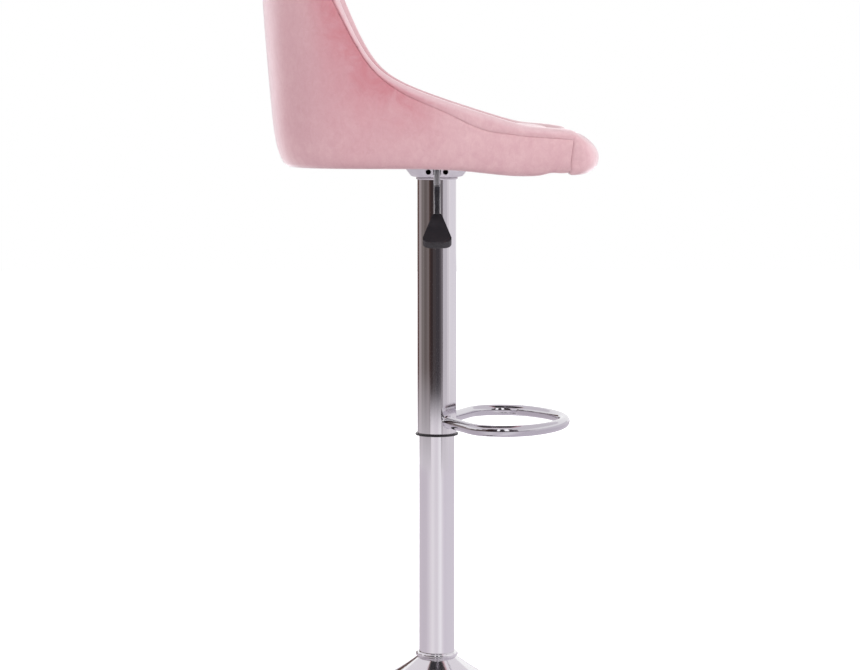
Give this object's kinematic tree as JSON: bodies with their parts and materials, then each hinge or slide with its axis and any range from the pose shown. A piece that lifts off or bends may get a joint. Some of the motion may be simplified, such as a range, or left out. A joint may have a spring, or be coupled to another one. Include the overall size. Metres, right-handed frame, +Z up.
{
  "type": "bar stool",
  "caption": "Swivelling bar stool on a gas lift, with a padded velvet bucket seat, a chrome column with a footrest loop, a height lever and a round trumpet base.",
  "frame": {"origin": "centre of the round base's underside, on the floor", "axes": "+Z up along the column, +X the way the sitter faces, +Y to the sitter's left"},
  "size_m": [0.4695, 0.4194, 1.0834],
  "materials": {
    "velvet": "pink short-pile velvet",
    "velvet_light": "pink short-pile velvet, pile brushed the lighter way",
    "chrome": "polished",
    "satin_metal": "pale grey satin",
    "zinc": "zinc plated",
    "dark_steel": "black satin paint",
    "black_plastic": "matt",
    "rubber": "matt",
    "brass": "plain",
    "plywood": "raw plywood",
    "liner": "thin black non-woven cloth"
  },
  "bodies": {
    "base": {"base_shell": "chrome", "floor_ring": "rubber", "hub_plate": "dark_steel", "hub_screws": "zinc", "pole": "chrome", "pole_foot": "dark_steel", "pole_collar": "chrome", "guide_sleeve": "black_plastic", "bearing_buffer": "rubber", "lower_race": "zinc"},
    "rod": {"bearing_balls": "brass", "upper_race": "zinc", "piston_rod": "chrome", "piston": "black_plastic", "rod_washer": "zinc", "rod_clip": "dark_steel"},
    "seat": {"gas_cylinder": "dark_steel", "rod_gland": "brass", "outer_tube": "chrome", "tube_bushing": "black_plastic", "tube_cap": "satin_metal", "footrest_ring": "chrome", "mount_dish": "satin_metal", "lift_socket": "dark_steel", "seat_plate": "satin_metal", "seat_screws": "zinc", "screw_washers": "zinc", "tee_nuts": "zinc", "lever_bracket": "dark_steel", "lever_pin": "zinc", "seat_board": "plywood", "dust_cover": "liner", "bucket_shell": "plywood", "outer_panel": "velvet", "inner_pad": "velvet_light", "seat_cushion": "velvet", "front_roll": "velvet"},
    "lever": {"lever_rod": "chrome", "lever_handle": "black_plastic"},
    "valve": {"valve_pin": "zinc"}
  },
  "joints": [
    {"name": "swivel", "type": "hinge", "parent": "base", "child": "rod", "pos_m": [0, 0, 0.08], "axis": [0, 0, 1], "continuous": true},
    {"name": "height", "type": "slide", "parent": "rod", "child": "seat", "axis": [0, 0, 1], "range_m": [-0.21, 0]},
    {"name": "lever_lift", "type": "hinge", "parent": "seat", "child": "lever", "pos_m": [0, -0.028, 0.77], "axis": [-1, 0, 0], "range_deg": [0, 8], "stiffness_Nm_per_rad": 6, "springref_deg": -17.19},
    {"name": "valve_push", "type": "slide", "parent": "seat", "child": "valve", "axis": [0, 0, 1], "range_m": [-0.0044, 0]}
  ],
  "couplings": [
    {"joint": "valve_push", "follows": "lever_lift", "m_per_rad": -0.0315}
  ]
}
